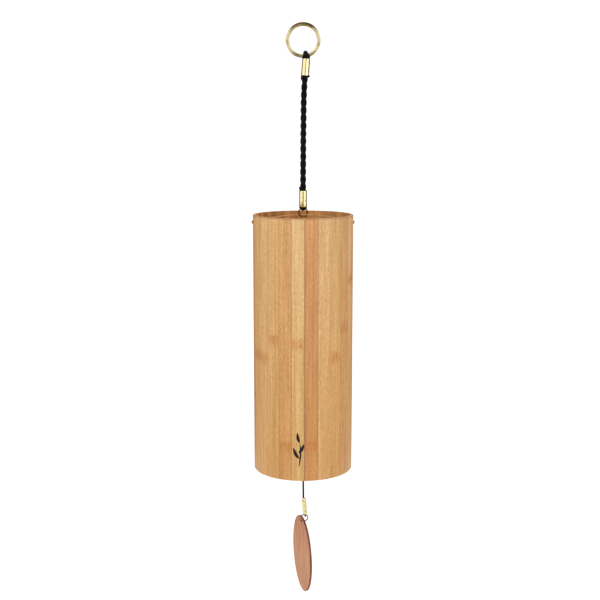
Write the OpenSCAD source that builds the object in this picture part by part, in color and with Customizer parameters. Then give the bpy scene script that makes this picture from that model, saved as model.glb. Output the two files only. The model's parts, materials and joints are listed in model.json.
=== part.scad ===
// Resonator wind chime: a rolled bamboo tube with tuned rods inside, hung from a split ring.
// Millimetres, +Z up. The origin is where a hook bears on the inner top of the hanging ring.

/* [Hanging ring] */
// Outer diameter of the split ring
ring_od = 21.6; // [20:0.2:24]
// Radial width of its flat wire
ring_band = 2.3; // [2:0.1:2.4]
// Front to back over its two coils
ring_thick = 2.2; // [2:0.1:2.4]

/* [Hanging cord] */
// Diameter over the two twisted strands
cord_d = 3.8; // [3:0.1:4]
// Outer diameter of a crimp ferrule
ferrule_d = 5; // [4.8:0.1:5.6]
// Length of a crimp ferrule
ferrule_len = 10.2; // [8:0.2:12]

/* [Link and cross wire] */
// Outer diameter of the link ring
link_od = 6.55; // [6.5:0.05:6.6]
// Wire diameter of the link ring
link_wire = 0.8; // [0.7:0.05:0.8]
// Diameter of the cross wire
wire_d = 0.6; // [0.5:0.05:0.6]
// Fall of the bowed wire from its middle to the tube wall
wire_drop = 4.4; // [3.8:0.1:4.8]

/* [Tube] */
// Outside diameter of the tube
tube_d = 63.5; // [63:0.5:64]
// Length of the tube
tube_len = 165; // [155:1:180]
// Thickness of one of the three plies
ply = 0.6; // [0.5:0.05:0.65]

/* [Chime plate and rods] */
// Rim of the tube down to the top of the plate
plate_depth = 20; // [14:1:26]
// Plate thickness
plate_t = 4; // [3:0.5:5]
// Rod diameter
rod_d = 3; // [2.6:0.1:3.2]
// Circle through the rods
rod_circle_d = 44; // [43:0.5:45]

/* [Striker] */
// Diameter of the clear disc
striker_d = 30; // [26:1:30]
// Thickness of the clear disc
striker_t = 4; // [3:0.5:5]
// Underside of the plate down to the middle of the disc
striker_drop = 44; // [40:1:46]
// Diameter of the thin cord
thin_cord_d = 1.1; // [0.9:0.1:1.2]

/* [Wind sail] */
// Diameter of the sail
sail_d = 49.6; // [40:0.2:60]
// Thickness of the sail
sail_t = 1.2; // [1:0.1:1.6]
// Turn of the sail from edge-on
sail_turn = 13.2; // [0:0.2:60]

/* [Hidden] */
$fn = 96;
eps = 0.02; // hairline between faces that slide on each other
big = 200;

// Hanging ring
ring_r = ring_od / 2;
ring_z = ring_band - ring_r;
ring_chamfer = 0.35;
split_groove = [0.2, 0.08]; // depth and half width of the line between the two coils

// Upper loop and ferrule: the loop sits a little round the ring, the ferrule leans back
loop_turn = 10.5;
loop_strand = 1.7;
loop_strand_gap = 1.5; // the two strands press together
loop_clear = 0.1;
loop_set = 0.4; // middle of the bend, outward of the ring's inner face
ferrule_lean = 4.2;
upper_mouth = [1.9, 0, -19.7];
mouth_bore = 4.2;
plug_d = mouth_bore - 2 * eps;
tail_d = 0.9;
plug_proud = 0.1;
tail_start = [1.25, 0, -0.1]; // from the middle of the ferrule's lower face
tail_len = 3.2;
tail_turn = 135;
lean_dir = [sin(ferrule_lean), 0, cos(ferrule_lean)];
upper_foot = upper_mouth - ferrule_len * lean_dir;

// Hanging cord, from its flex point under the upper ferrule to the lower ferrule
hang_route = [[1, 0, -32], [0.85, 0, -34.5], [0.7, 0, -37], [0.55, 0, -40], [0.45, 0, -43],
    [0.35, 0, -47], [0.3, 0, -51], [0.25, 0, -56], [0.2, 0, -61], [0.15, 0, -66], [0.1, 0, -72],
    [0.1, 0, -78], [0.05, 0, -85], [0, 0, -93], [0, 0, -101]];
lower_mouth_z = hang_route[14][2] - ferrule_len;

// Lower loop, link ring and the bowed wire that hangs in it
link_turn = 20;
small_strand = 1.3;
link_r = (link_od - link_wire) / 2;
small_strand_gap = 1.1;
bight_drop = 0.55; // ferrule down to the middle of the bend
link_slack = 0.05;
wire_lift = 1.2; // middle of the cross wire above the link ring's lowest point
bight_r = (link_wire + small_strand) / 2 + loop_clear;
bight_z = lower_mouth_z - bight_drop;
link_z = bight_z + link_slack - link_r;
wire_z = link_z - link_r + wire_lift;
tube_r = tube_d / 2;
bow_r = (tube_r * tube_r + wire_drop * wire_drop) / (2 * wire_drop);
wire_hole_d = 1.3;
bead_d = 2.2;
bead_len = 0.8;

// Tube, plate and rods
rim_above_wire = 0.35;
tube_top = wire_z + rim_above_wire;
core_r = tube_r - ply;
liner_r = core_r - ply;
bore_r = liner_r - ply;
plate_top = tube_top - plate_depth;
plate_z = plate_top - plate_t;
plate_gap = 0.25;
seat_width = 3.9;
plate_r = bore_r - plate_gap;
seat_inner_r = bore_r - seat_width;
seat_h = 4;
retainer_h = 3;
socket_depth = 1.5;
socket_d = rod_d + 0.1;
fillet_d = 5.4;
fillet_h = 1.2;
eyelet_bore = 3;
eyelet_d = 4;
eyelet_flange = [6.4, 0.4];

// A rod held at one end sounds at k / length^2; the notes alternate to balance the plate
rod_step = 45;
rod_notes_hz = [261.6, 440, 392, 659.3, 293.7, 329.6, 523.3, 587.3];
sound_speed = 5050000;
rod_k = 3.516 / (2 * PI) * rod_d / 4 * sound_speed;
function rod_free(i) = sqrt(rod_k / rod_notes_hz[i]);

// Striker and its cords
stop_knot_r = 1.9;
stop_knot_z = plate_top + eyelet_flange[1]
    + sqrt(stop_knot_r * stop_knot_r - eyelet_bore * eyelet_bore / 4) + 2 * eps;
knot_gap = 0.05;
striker_z = plate_z - striker_drop;
striker_hole_d = thin_cord_d + 0.3;
sail_knot_r = 1.8;
sail_knot_z = striker_z - striker_t / 2 - sail_knot_r - eps;

// Sail cord route, from under its knot to the sail ferrule
sail_route = [[0, 0, sail_knot_z - sail_knot_r - knot_gap], [0, 0, -196], [0, 0, -204],
    [0, 0, -212], [0, 0, -220], [0, 0, -228], [0, 0, -236], [0, 0, -244], [0, 0, -252],
    [0.05, 0, -260], [0.05, 0, -269], [0.1, 0, -278], [0.15, 0, -287], [0.2, 0, -295],
    [0.3, 0, -303]];
striker_route = [[0, 0, stop_knot_z - stop_knot_r - knot_gap], [0, 0, -139], [0, 0, -142],
    [0, 0, -146], [0, 0, -150], [0, 0, -154], [0, 0, -158], [0, 0, -162], [0, 0, -166],
    [0, 0, -170], [0, 0, -174], [0, 0, -177], [0, 0, -180], [0, 0, -183],
    [0, 0, striker_z - striker_t / 2]];

// Sail ferrule leans the other way; its ring runs from the ferrule's loop to the sail's hole
mouth_gap = 0.06;
sail_mouth = sail_route[14] - [0, 0, mouth_gap];
sail_ferrule_d = 3;
sail_ferrule_len = 11.4;
sail_lean = 5.3;
sail_lean_dir = [-sin(sail_lean), 0, cos(sail_lean)];
sail_foot = sail_mouth - sail_ferrule_len * sail_lean_dir;
sail_strand = 0.9;
sail_bore = 2.2;
sail_taper = [0.7, 2]; // inward and down, at the ferrule's crimped top
sail_ring_od = 6.5;
sail_ring_wire = 0.8;
sail_ring_r = (sail_ring_od - sail_ring_wire) / 2;
sail_bight_r = 0.95;
sail_bight_drop = 0.55;
sail_hole_d = 2.4;
ring_high = sail_foot - sail_bight_drop * sail_lean_dir;
ring_along = unit([0.315, -0.273, 0.909]);
ring_low = ring_high - 2 * sail_ring_r * ring_along;
ring_mid = (ring_high + ring_low) / 2;
sail_normal = [-cos(sail_turn), -sin(sail_turn), 0];
ring_across = unit(sail_normal - (sail_normal * ring_along) * ring_along);
ring_axis = cross(ring_along, ring_across);
sail_rim = 3; // hole centre to the nearest point of the sail's edge
hole_sag = 0.25; // leaves room for the ring's curve where it crosses the hole
sail_hole = ring_low - [0, 0, hole_sag];
sail_mid = sail_hole - [0, 0, sail_d / 2 - sail_rim];

function unit(v) = v / norm(v);

// Ring of points round a route, square to the direction t
function hoop(p, t, r, n) = let (u = unit(cross([0, 1, 0], t)), v = cross(t, u))
    [for (i = [0:n - 1]) p + r * (cos(360 * i / n) * u + sin(360 * i / n) * v)];

function heading(pts, i) = unit(pts[min(i + 1, len(pts) - 1)] - pts[max(i - 1, 0)]);

// Round-ended start: hoops that swell from a point to the full radius
function nose(pts, r, n) = let (t = heading(pts, 0))
    [for (a = [15, 40, 65]) hoop(pts[0] - r * cos(a) * t, t, r * sin(a), n)];

module swept_cord(pts, d, round_start = false, n = 8) {
    rings = concat(round_start ? nose(pts, d / 2, n) : [],
        [for (i = [0:len(pts) - 1]) hoop(pts[i], heading(pts, i), d / 2, n)]);
    last = len(rings) - 1;
    sides = [for (k = [0:last - 1], i = [0:n - 1])
        [k * n + i, k * n + (i + 1) % n, (k + 1) * n + (i + 1) % n, (k + 1) * n + i]];
    polyhedron(points = [for (ring = rings) each ring],
        faces = concat([[for (i = [n - 1:-1:0]) i]], sides,
            [[for (i = [0:n - 1]) last * n + i]]));
}

// Moves a shape so that its +Z runs along a unit vector from a point
module along(p, dir) {
    translate(p) rotate([0, acos(dir[2]), atan2(dir[1], dir[0])]) children();
}

// U of cord opening upward in the XZ plane, its legs h tall
module bight(r, strand, h) {
    rotate([-90, 0, 0]) rotate_extrude(angle = 180) translate([r, 0]) circle(d = strand);
    for (side = [-1, 1]) translate([side * r, 0, 0]) cylinder(d = strand, h = h);
}

module ferrule(d, bore, h, chamfer = 0.3) {
    rotate_extrude() polygon([[bore / 2, 0], [d / 2 - chamfer, 0], [d / 2, chamfer],
        [d / 2, h - chamfer], [d / 2 - chamfer, h], [bore / 2, h]]);
}

module wire_ring(r, wire) {
    rotate_extrude() translate([r, 0]) circle(d = wire, $fn = 32);
}

function bow_z(x) = wire_z - bow_r + sqrt(bow_r * bow_r - x * x);

module bowed_wire(d, reach) {
    half = asin(reach / bow_r);
    translate([0, 0, wire_z - bow_r]) rotate([90, 0, 0]) rotate([0, 0, 90 - half])
        rotate_extrude(angle = 2 * half) translate([bow_r, 0]) circle(d = d, $fn = 32);
}

module ply_tube(outer, inner) {
    difference() {
        translate([0, 0, tube_top - tube_len]) cylinder(r = outer, h = tube_len);
        translate([0, 0, tube_top - tube_len - 1]) cylinder(r = inner, h = tube_len + 2);
        for (side = [-1, 1]) translate([side * (inner - 2), 0, bow_z(core_r)])
            rotate([0, side * 90, 0]) cylinder(d = wire_hole_d, h = 6, $fn = 32);
    }
}

module flat_ring(outer, inner, z, h) {
    translate([0, 0, z]) difference() {
        cylinder(r = outer, h = h);
        translate([0, 0, -1]) cylinder(r = inner, h = h + 2);
    }
}

module rod_place(i) {
    rotate([0, 0, rod_step * (i + 0.5)]) translate([rod_circle_d / 2, 0, 0]) children();
}

module hanging_ring() {
    inner = ring_r - ring_band;
    half = ring_thick / 2;
    c = ring_chamfer;
    deep = split_groove[0];
    line = split_groove[1];
    color([0.62, 0.52, 0.33]) translate([0, 0, ring_z]) rotate([90, 0, 0]) rotate_extrude()
        polygon([[inner, c - half], [inner + c, -half], [ring_r - c, -half], [ring_r, c - half],
            [ring_r, -line], [ring_r - deep, 0], [ring_r, line],
            [ring_r, half - c], [ring_r - c, half], [inner + c, half], [inner, half - c],
            [inner, line], [inner + deep, 0], [inner, -line]]);
}

// Two strands over the ring, cut at the ferrule's mouth, and the cord packed in its bore
module upper_loop() {
    leg = (ring_thick + loop_strand) / 2 + loop_clear;
    mid = ring_r - ring_band + loop_set;
    color([0.1, 0.09, 0.09]) {
        difference() {
            translate([0, 0, ring_z]) rotate([0, -loop_turn, 0])
                for (side = [-1, 1]) translate([side * loop_strand_gap / 2, 0, -mid])
                    rotate([180, 0, 90]) bight(leg, loop_strand, 6);
            along(upper_mouth, lean_dir) translate([-big / 2, -big / 2, -big]) cube(big);
        }
        along(upper_foot, lean_dir) cylinder(d = plug_d, h = ferrule_len + plug_proud);
        translate(upper_foot + tail_start) rotate([0, tail_turn, 0])
            cylinder(d = tail_d, h = tail_len);
    }
}

module upper_ferrule() {
    color([0.86, 0.78, 0.5]) along(upper_foot, lean_dir)
        ferrule(ferrule_d, mouth_bore, ferrule_len);
}

module hanging_cord() { color([0.12, 0.11, 0.11]) swept_cord(hang_route, cord_d, true); }

module lower_ferrule() {
    color([0.86, 0.78, 0.5]) translate([0, 0, lower_mouth_z])
        ferrule(ferrule_d, mouth_bore, ferrule_len);
}

module lower_loop() {
    color([0.1, 0.09, 0.09]) {
        rotate([0, 0, link_turn + 90]) for (side = [-1, 1])
            translate([0, side * small_strand_gap / 2, bight_z])
                bight(bight_r, small_strand, lower_mouth_z - bight_z + 1);
        translate([0, 0, lower_mouth_z]) cylinder(d = plug_d, h = ferrule_len - eps);
    }
}

module link_ring() {
    color([0.42, 0.32, 0.2]) translate([0, 0, link_z]) rotate([90, 0, link_turn])
        wire_ring(link_r, link_wire);
}

module cross_wire() { color([0.45, 0.4, 0.28]) bowed_wire(wire_d, tube_r + bead_len / 2); }

module wire_end_beads() {
    color([0.5, 0.36, 0.2]) difference() {
        for (side = [-1, 1]) translate([side * (tube_r + eps), 0, bow_z(tube_r + bead_len / 2)])
            rotate([0, side * 90, 0]) cylinder(d = bead_d, h = bead_len);
        bowed_wire(wire_d + 2 * eps, tube_r + bead_len / 2 + eps);
    }
}

module tube_outer_veneer() { color([0.84, 0.67, 0.44]) ply_tube(tube_r, core_r); }

module tube_core_ply() { color([0.78, 0.58, 0.36]) ply_tube(core_r, liner_r); }

module tube_inner_veneer() { color([0.7, 0.48, 0.3]) ply_tube(liner_r, bore_r); }

module plate_retaining_ring() {
    color([0.75, 0.6, 0.42]) flat_ring(bore_r - eps, seat_inner_r, plate_top, retainer_h);
}

module plate_seat_ring() {
    color([0.75, 0.6, 0.42]) flat_ring(bore_r - eps, seat_inner_r, plate_z - seat_h, seat_h);
}

module chime_plate() {
    color([0.66, 0.67, 0.69]) difference() {
        translate([0, 0, plate_z]) cylinder(r = plate_r, h = plate_t);
        translate([0, 0, plate_z - 1]) cylinder(d = eyelet_d + 2 * eps, h = plate_t + 2);
        for (i = [0:7]) rod_place(i) translate([0, 0, plate_z - 1])
            cylinder(d = socket_d, h = socket_depth + 1);
    }
}

module plate_eyelet() {
    flange = eyelet_flange[0] / 2;
    lip = eyelet_flange[1];
    top = plate_top + lip;
    low = plate_z - lip;
    color([0.82, 0.7, 0.42]) rotate_extrude() polygon([[eyelet_bore / 2, low], [flange, low],
        [flange, plate_z], [eyelet_d / 2, plate_z], [eyelet_d / 2, plate_top],
        [flange, plate_top], [flange, top], [eyelet_bore / 2, top]]);
}

module chime_rod(i) {
    color([0.78, 0.79, 0.8]) rod_place(i) translate([0, 0, plate_z - rod_free(i)])
        cylinder(d = rod_d, h = rod_free(i) + socket_depth - eps);
}

module solder_fillets() {
    color([0.72, 0.73, 0.74]) for (i = [0:7]) rod_place(i) translate([0, 0, plate_z])
        rotate_extrude() polygon([[rod_d / 2 + eps, 0], [fillet_d / 2, 0],
            [rod_d / 2 + eps, -fillet_h]]);
}

module striker_stop_knot() {
    color([0.1, 0.09, 0.09]) translate([0, 0, stop_knot_z]) sphere(r = stop_knot_r);
}

module striker_cord() { color([0.1, 0.09, 0.09]) swept_cord(striker_route, thin_cord_d); }

module striker_disc() {
    color([0.85, 0.9, 0.92, 0.5]) translate([0, 0, striker_z - striker_t / 2]) difference() {
        cylinder(d = striker_d, h = striker_t);
        translate([0, 0, -1]) cylinder(d = striker_hole_d, h = striker_t + 2, $fn = 32);
    }
}

module sail_knot() {
    color([0.1, 0.09, 0.09]) translate([0, 0, sail_knot_z]) sphere(r = sail_knot_r);
}

module sail_cord() { color([0.1, 0.09, 0.09]) swept_cord(sail_route, thin_cord_d); }

// Crimped at its top to the thin cord, open below for the loop
module sail_ferrule() {
    r = sail_ferrule_d / 2;
    inner = sail_bore / 2;
    h = sail_ferrule_len;
    wall = r - inner;
    taper = sail_taper;
    color([0.84, 0.77, 0.55]) along(sail_foot, sail_lean_dir) rotate_extrude()
        polygon([[inner, 0], [r, 0], [r, h - taper[1]], [r - taper[0], h], [0, h], [0, h - wall],
            [inner, h - taper[1]]]);
}

module sail_loop() {
    color([0.1, 0.09, 0.09]) along(sail_foot, sail_lean_dir) {
        rotate([0, 0, atan2(ring_across[1], ring_across[0]) + 90])
            translate([0, 0, -sail_bight_drop]) bight(sail_bight_r, sail_strand, sail_bight_drop);
        cylinder(d = sail_bore - 2 * eps, h = sail_ferrule_len - sail_taper[1]);
    }
}

module sail_ring() {
    color([0.5, 0.46, 0.38]) along(ring_mid, ring_axis) wire_ring(sail_ring_r, sail_ring_wire);
}

module wind_sail() {
    color([0.8, 0.58, 0.44]) difference() {
        along(sail_mid, sail_normal) translate([0, 0, -sail_t / 2])
            cylinder(d = sail_d, h = sail_t);
        along(sail_hole, sail_normal) translate([0, 0, -sail_t])
            cylinder(d = sail_hole_d, h = 2 * sail_t, $fn = 32);
    }
}

hanging_ring();
upper_loop();
upper_ferrule();
hanging_cord();
lower_ferrule();
lower_loop();
link_ring();
cross_wire();
wire_end_beads();
tube_outer_veneer();
tube_core_ply();
tube_inner_veneer();
plate_retaining_ring();
chime_plate();
plate_seat_ring();
plate_eyelet();
chime_rod(0);  // chime_rod_1
chime_rod(1);  // chime_rod_2
chime_rod(2);  // chime_rod_3
chime_rod(3);  // chime_rod_4
chime_rod(4);  // chime_rod_5
chime_rod(5);  // chime_rod_6
chime_rod(6);  // chime_rod_7
chime_rod(7);  // chime_rod_8
solder_fillets();
striker_stop_knot();
striker_cord();
striker_disc();
sail_knot();
sail_cord();
sail_ferrule();
sail_loop();
sail_ring();
wind_sail();
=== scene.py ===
import json
import math
import random

import bmesh
import bpy
from mathutils import Matrix, Vector


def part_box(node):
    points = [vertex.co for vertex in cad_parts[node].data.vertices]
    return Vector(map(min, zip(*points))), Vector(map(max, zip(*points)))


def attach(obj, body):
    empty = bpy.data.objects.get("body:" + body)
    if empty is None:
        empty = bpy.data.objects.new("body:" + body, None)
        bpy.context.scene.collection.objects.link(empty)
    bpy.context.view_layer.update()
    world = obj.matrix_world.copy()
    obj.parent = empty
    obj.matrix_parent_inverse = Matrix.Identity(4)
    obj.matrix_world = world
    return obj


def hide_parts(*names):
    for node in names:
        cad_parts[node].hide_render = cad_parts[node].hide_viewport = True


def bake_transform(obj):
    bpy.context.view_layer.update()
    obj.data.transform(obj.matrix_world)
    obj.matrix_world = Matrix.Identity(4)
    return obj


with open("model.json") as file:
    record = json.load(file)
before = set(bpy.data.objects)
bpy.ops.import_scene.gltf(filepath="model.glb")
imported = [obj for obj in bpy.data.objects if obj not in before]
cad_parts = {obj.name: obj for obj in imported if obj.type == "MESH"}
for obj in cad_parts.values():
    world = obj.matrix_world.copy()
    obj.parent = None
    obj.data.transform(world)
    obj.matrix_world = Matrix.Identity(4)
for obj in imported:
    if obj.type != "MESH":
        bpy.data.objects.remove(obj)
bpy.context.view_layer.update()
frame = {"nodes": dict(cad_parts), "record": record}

# Resonator wind chime: a rolled bamboo tube with tuned rods inside, hung by a twisted cord from a
# split ring, with a clear striker inside and a thin wooden sail below. Metres, +Z up.

MM = 0.001
RNG = random.Random(11)
UP = Vector((0, 0, 1))


def size_of(node):
    """Width, depth and height of a CAD node."""
    low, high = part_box(node)
    return high - low


def middle_of(node):
    """Middle of a CAD node's box."""
    low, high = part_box(node)
    return (low + high) / 2


def joint(name):
    """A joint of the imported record."""
    return next(j for j in frame["record"]["behaviour"]["joints"] if j["name"] == name)


def joint_place(name):
    """Where a joint turns."""
    return Vector(joint(name)["pos_m"])


def leaning(degrees):
    """Unit vector along a ferrule that leans to the right of straight up."""
    return Vector((math.sin(math.radians(degrees)), 0, math.cos(math.radians(degrees))))


# Places and sizes, worked out from the frame
RING_MIDDLE = middle_of("hanging_ring")
RING_OUTER = size_of("hanging_ring").x / 2
RING_THICK = size_of("hanging_ring").y
RING_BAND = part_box("hanging_ring")[1].z
FERRULE_RADIUS = size_of("lower_ferrule").x / 2
FERRULE_LENGTH = size_of("lower_ferrule").z
UPPER_LEAN = leaning(4.2)
UPPER_MOUTH = middle_of("upper_ferrule") + UPPER_LEAN * FERRULE_LENGTH / 2
UPPER_FOOT = middle_of("upper_ferrule") - UPPER_LEAN * FERRULE_LENGTH / 2
LOWER_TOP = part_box("lower_ferrule")[1].z
LOWER_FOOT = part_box("lower_ferrule")[0].z
SAIL_LEAN = leaning(-5.3)
SAIL_FERRULE_LENGTH = 11.4 * MM
SAIL_FERRULE_RADIUS = 1.5 * MM
SAIL_FERRULE_MIDDLE = middle_of("sail_ferrule")
SAIL_FOOT = SAIL_FERRULE_MIDDLE - SAIL_LEAN * SAIL_FERRULE_LENGTH / 2
LINK_TURN = math.radians(20)
WIRE_RADIUS = 0.4 * MM
RODS = 8
THIN_DIAMETER = size_of("sail_cord").y
TUBE_RADIUS = size_of("tube_outer_veneer").x / 2
CORE_RADIUS = size_of("tube_core_ply").x / 2
TUBE_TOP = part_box("tube_outer_veneer")[1].z
TUBE_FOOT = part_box("tube_outer_veneer")[0].z
TUBE_LENGTH = TUBE_TOP - TUBE_FOOT

# The cords' routes, from the top down
HANG_ROUTE = [
    (0.001, 0, -0.032), (0.00085, 0, -0.0345), (0.0007, 0, -0.037), (0.00055, 0, -0.04),
    (0.00045, 0, -0.043), (0.00035, 0, -0.047), (0.0003, 0, -0.051), (0.00025, 0, -0.056),
    (0.0002, 0, -0.061), (0.00015, 0, -0.066), (0.0001, 0, -0.072), (0.0001, 0, -0.078),
    (0.00005, 0, -0.085), (0, 0, -0.093), (0, 0, -0.101)]
STRIKER_ROUTE = [
    (0, 0, -0.136244), (0, 0, -0.139), (0, 0, -0.142), (0, 0, -0.146), (0, 0, -0.15),
    (0, 0, -0.154), (0, 0, -0.158), (0, 0, -0.162), (0, 0, -0.166), (0, 0, -0.17),
    (0, 0, -0.174), (0, 0, -0.177), (0, 0, -0.18), (0, 0, -0.183), (0, 0, -0.1859)]
SAIL_ROUTE = [
    (0, 0, -0.18957), (0, 0, -0.196), (0, 0, -0.204), (0, 0, -0.212), (0, 0, -0.22),
    (0, 0, -0.228), (0, 0, -0.236), (0, 0, -0.244), (0, 0, -0.252), (0.00005, 0, -0.26),
    (0.00005, 0, -0.269), (0.0001, 0, -0.278), (0.00015, 0, -0.287), (0.0002, 0, -0.295),
    (0.0003, 0, -0.303)]


# Camera

CAMERA_PLACE = (-0.00195, -0.6769, -0.0587)
CAMERA_PITCH = 80.6  # degrees up from straight down
CAMERA_LENS = 64.25


def make_camera():
    """Level with the cord and a little above the tube, looking slightly down."""
    data = bpy.data.cameras.new("camera")
    data.sensor_width = 36
    data.lens = CAMERA_LENS
    data.clip_start = 0.01
    camera = bpy.data.objects.new("camera", data)
    camera.location = CAMERA_PLACE
    camera.rotation_euler = (math.radians(CAMERA_PITCH), 0, 0)
    bpy.context.scene.collection.objects.link(camera)
    bpy.context.scene.camera = camera


# Materials

def srgb(red, green, blue):
    """Linear colour of an 8-bit screen colour."""
    def linear(c):
        c /= 255
        return c / 12.92 if c <= 0.04045 else ((c + 0.055) / 1.055) ** 2.4
    return (linear(red), linear(green), linear(blue), 1)


class Shader:
    """A material, with short calls for the nodes that the materials here share."""

    def __init__(self, name, **sockets):
        self.material = bpy.data.materials.new(name)
        self.material.use_nodes = True
        self.tree = self.material.node_tree
        self.surface = self.tree.nodes["Principled BSDF"]
        for socket, value in sockets.items():
            self.set(socket.replace("_", " "), value)

    def set(self, socket, value):
        target = self.surface.inputs[socket]
        if isinstance(value, bpy.types.NodeSocket):
            self.tree.links.new(value, target)
        else:
            target.default_value = value

    def add(self, kind, inputs, output=0, **settings):
        node = self.tree.nodes.new("ShaderNode" + kind)
        for key, value in settings.items():
            setattr(node, key, value)
        for socket, value in inputs.items():
            if isinstance(value, bpy.types.NodeSocket):
                self.tree.links.new(value, node.inputs[socket])
            else:
                node.inputs[socket].default_value = value
        return node.outputs[output]

    def place(self):
        return self.add("TexCoord", {}, "Object")

    def split(self, vector):
        node = self.add("SeparateXYZ", {0: vector}).node
        return node.outputs[0], node.outputs[1], node.outputs[2]

    def join(self, x, y, z):
        return self.add("CombineXYZ", {0: x, 1: y, 2: z})

    def math(self, operation, a, b=0.0):
        return self.add("Math", {0: a, 1: b}, operation=operation)

    def stretch(self, vector, scale):
        return self.add("VectorMath", {0: vector, 1: scale}, operation="MULTIPLY")

    def noise(self, vector, scale=1.0, detail=3.0, roughness=0.55):
        return self.add("TexNoise", {"Vector": vector, "Scale": scale, "Detail": detail,
                                     "Roughness": roughness})

    def span(self, value, low, high, to_low=0.0, to_high=1.0):
        return self.add("MapRange", {"Value": value, "From Min": low, "From Max": high,
                                     "To Min": to_low, "To Max": to_high},
                        interpolation_type="SMOOTHSTEP")

    def mix(self, factor, a, b, blend="MIX"):
        return self.add("Mix", {0: factor, 6: a, 7: b}, 2, data_type="RGBA", blend_type=blend)

    def steps(self, factor, colours):
        """Equal bands of flat colour."""
        output = self.add("ValToRGB", {0: factor})
        ramp = output.node.color_ramp
        ramp.interpolation = "CONSTANT"
        for i, colour in enumerate(colours):
            stop = ramp.elements[i] if i < 2 else ramp.elements.new(i / len(colours))
            stop.position = i / len(colours)
            stop.color = colour
        return output

    def bump(self, height, depth, strength=1.0):
        self.set("Normal", self.add("Bump", {"Height": height, "Distance": depth,
                                             "Strength": strength}))


def metal(name, light, dark, rough, grain=600.0, patch=160.0, wear=0.5, along=(1, 1, 1)):
    """Metal with tarnish in patches and fine handling marks."""
    shader = Shader(name, Metallic=1.0)
    place = shader.place()
    patches = shader.noise(place, patch, 4.0)
    tarnish = shader.span(patches, 0.66 - wear * 0.3, 0.8)
    shader.set("Base Color", shader.mix(tarnish, light, dark))
    marks = shader.noise(shader.stretch(place, along), grain, 4.0, 0.7)
    spread = shader.math("ADD", shader.math("MULTIPLY", marks, 0.16), rough - 0.08)
    shader.set("Roughness", shader.math("ADD", spread, shader.math("MULTIPLY", tarnish, 0.2)))
    shader.bump(marks, 0.02 * MM, 0.5)
    return shader.material


def ferrule_brass():
    """Bright brass tube with brown patches, more of them near the foot of the lower ferrule."""
    shader = Shader("ferrule_brass", Metallic=1.0)
    place = shader.place()
    patches = shader.noise(place, 420.0, 5.0, 0.65)
    # Brown patches, more of them towards the lower ferrule's foot, and rougher there.
    low_end = shader.span(shader.split(place)[2], LOWER_FOOT + 4.5 * MM, LOWER_FOOT + 0.5 * MM)
    brown_patches = shader.span(shader.math("ADD", patches, shader.math("MULTIPLY", low_end, 0.2)), 0.62, 0.72)
    shader.set("Base Color", shader.mix(brown_patches, srgb(250, 231, 176), srgb(142, 104, 52)))
    lines = shader.noise(shader.stretch(place, (1, 1, 0.06)), 2600.0, 3.0)
    rough = shader.math("ADD", shader.math("MULTIPLY", lines, 0.12), 0.1)
    shader.set("Roughness", shader.math("ADD", rough, shader.math("MULTIPLY", brown_patches, 0.25)))
    shader.bump(lines, 0.015 * MM, 0.5)
    return shader.material


def black_cord():
    """Waxed black braid with a few browner fibres."""
    shader = Shader("black_cord", Specular_IOR_Level=0.07)
    place = shader.place()
    fibres = shader.noise(shader.stretch(place, (1, 1, 0.35)), 3800.0, 3.0)
    patches = shader.noise(place, 260.0, 2.0)
    brown = shader.math("MULTIPLY", shader.span(fibres, 0.45, 0.75), shader.span(patches, 0.3, 0.7))
    shader.set("Base Color", shader.mix(brown, srgb(10, 7, 7), srgb(38, 28, 24)))
    shader.set("Roughness", shader.math("ADD", shader.math("MULTIPLY", fibres, 0.25), 0.36))
    shader.bump(fibres, 0.06 * MM, 0.7)
    return shader.material


def ring_brass():
    """Pale brass, with painted shade over the top, brownest at the outer edge, and darker brown towards the
    bottom.
    """
    shader = Shader("antique_brass", Metallic=1.0)
    place = shader.place()
    offset = shader.add("VectorMath", {0: place, 1: RING_MIDDLE}, operation="SUBTRACT")
    reach = shader.add("VectorMath", {0: offset}, "Value", operation="LENGTH")
    height = shader.split(offset)[2]
    # Painted shade: the top of the ring is painted olive and brown, brown at its outer edge.
    top = shader.span(height, RING_OUTER * 0.35, RING_OUTER * 0.8)
    outer = shader.span(reach, RING_OUTER - RING_BAND * 0.62, RING_OUTER - RING_BAND * 0.3)
    patches = shader.noise(place, 300.0, 4.0, 0.6)
    sides_and_foot = shader.mix(shader.span(patches, 0.45, 0.7), srgb(230, 215, 172), srgb(186, 164, 116))
    olive = shader.mix(shader.span(patches, 0.4, 0.65), srgb(176, 158, 112), srgb(130, 110, 70))
    brown = shader.mix(shader.span(patches, 0.35, 0.7), srgb(98, 76, 46), srgb(62, 46, 28))
    # Darker brown towards the bottom of the ring.
    foot = shader.span(height, -RING_OUTER * 0.5, -RING_OUTER * 0.85)
    sides_and_foot = shader.mix(shader.math("MULTIPLY", foot, 0.6), sides_and_foot, brown)
    shader.set("Base Color", shader.mix(top, sides_and_foot, shader.mix(outer, olive, brown)))
    marks = shader.noise(place, 1100.0, 4.0, 0.7)
    shader.set("Roughness", shader.math("ADD", shader.math("MULTIPLY", marks, 0.2), 0.26))
    shader.bump(marks, 0.02 * MM, 0.5)
    return shader.material


STRIPS = 24
FIRST_JOINT = 1.7  # degrees round from the front to the main seam
GOLDEN = srgb(196, 152, 95)
PALE = srgb(203, 165, 111)
ORANGE = srgb(188, 136, 83)
TAN = srgb(200, 157, 104)
HONEY = srgb(193, 145, 90)
# Strips at the front, counted round from the main seam: their tone, and how far down the tube
# their growth node is, as a share of its length
FRONT_TONES = {0: ORANGE, 1: TAN, 2: GOLDEN, 3: HONEY, 19: GOLDEN, 20: TAN, 21: GOLDEN,
               22: HONEY, 23: PALE}
FRONT_NODES = {0: 0.86, 1: 1.2, 2: 0.53, 3: 0.42, 19: 0.53, 20: 0.54, 21: 0.46, 22: 0.87, 23: 0.47}
NODE_SPAN = 1.25


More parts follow.
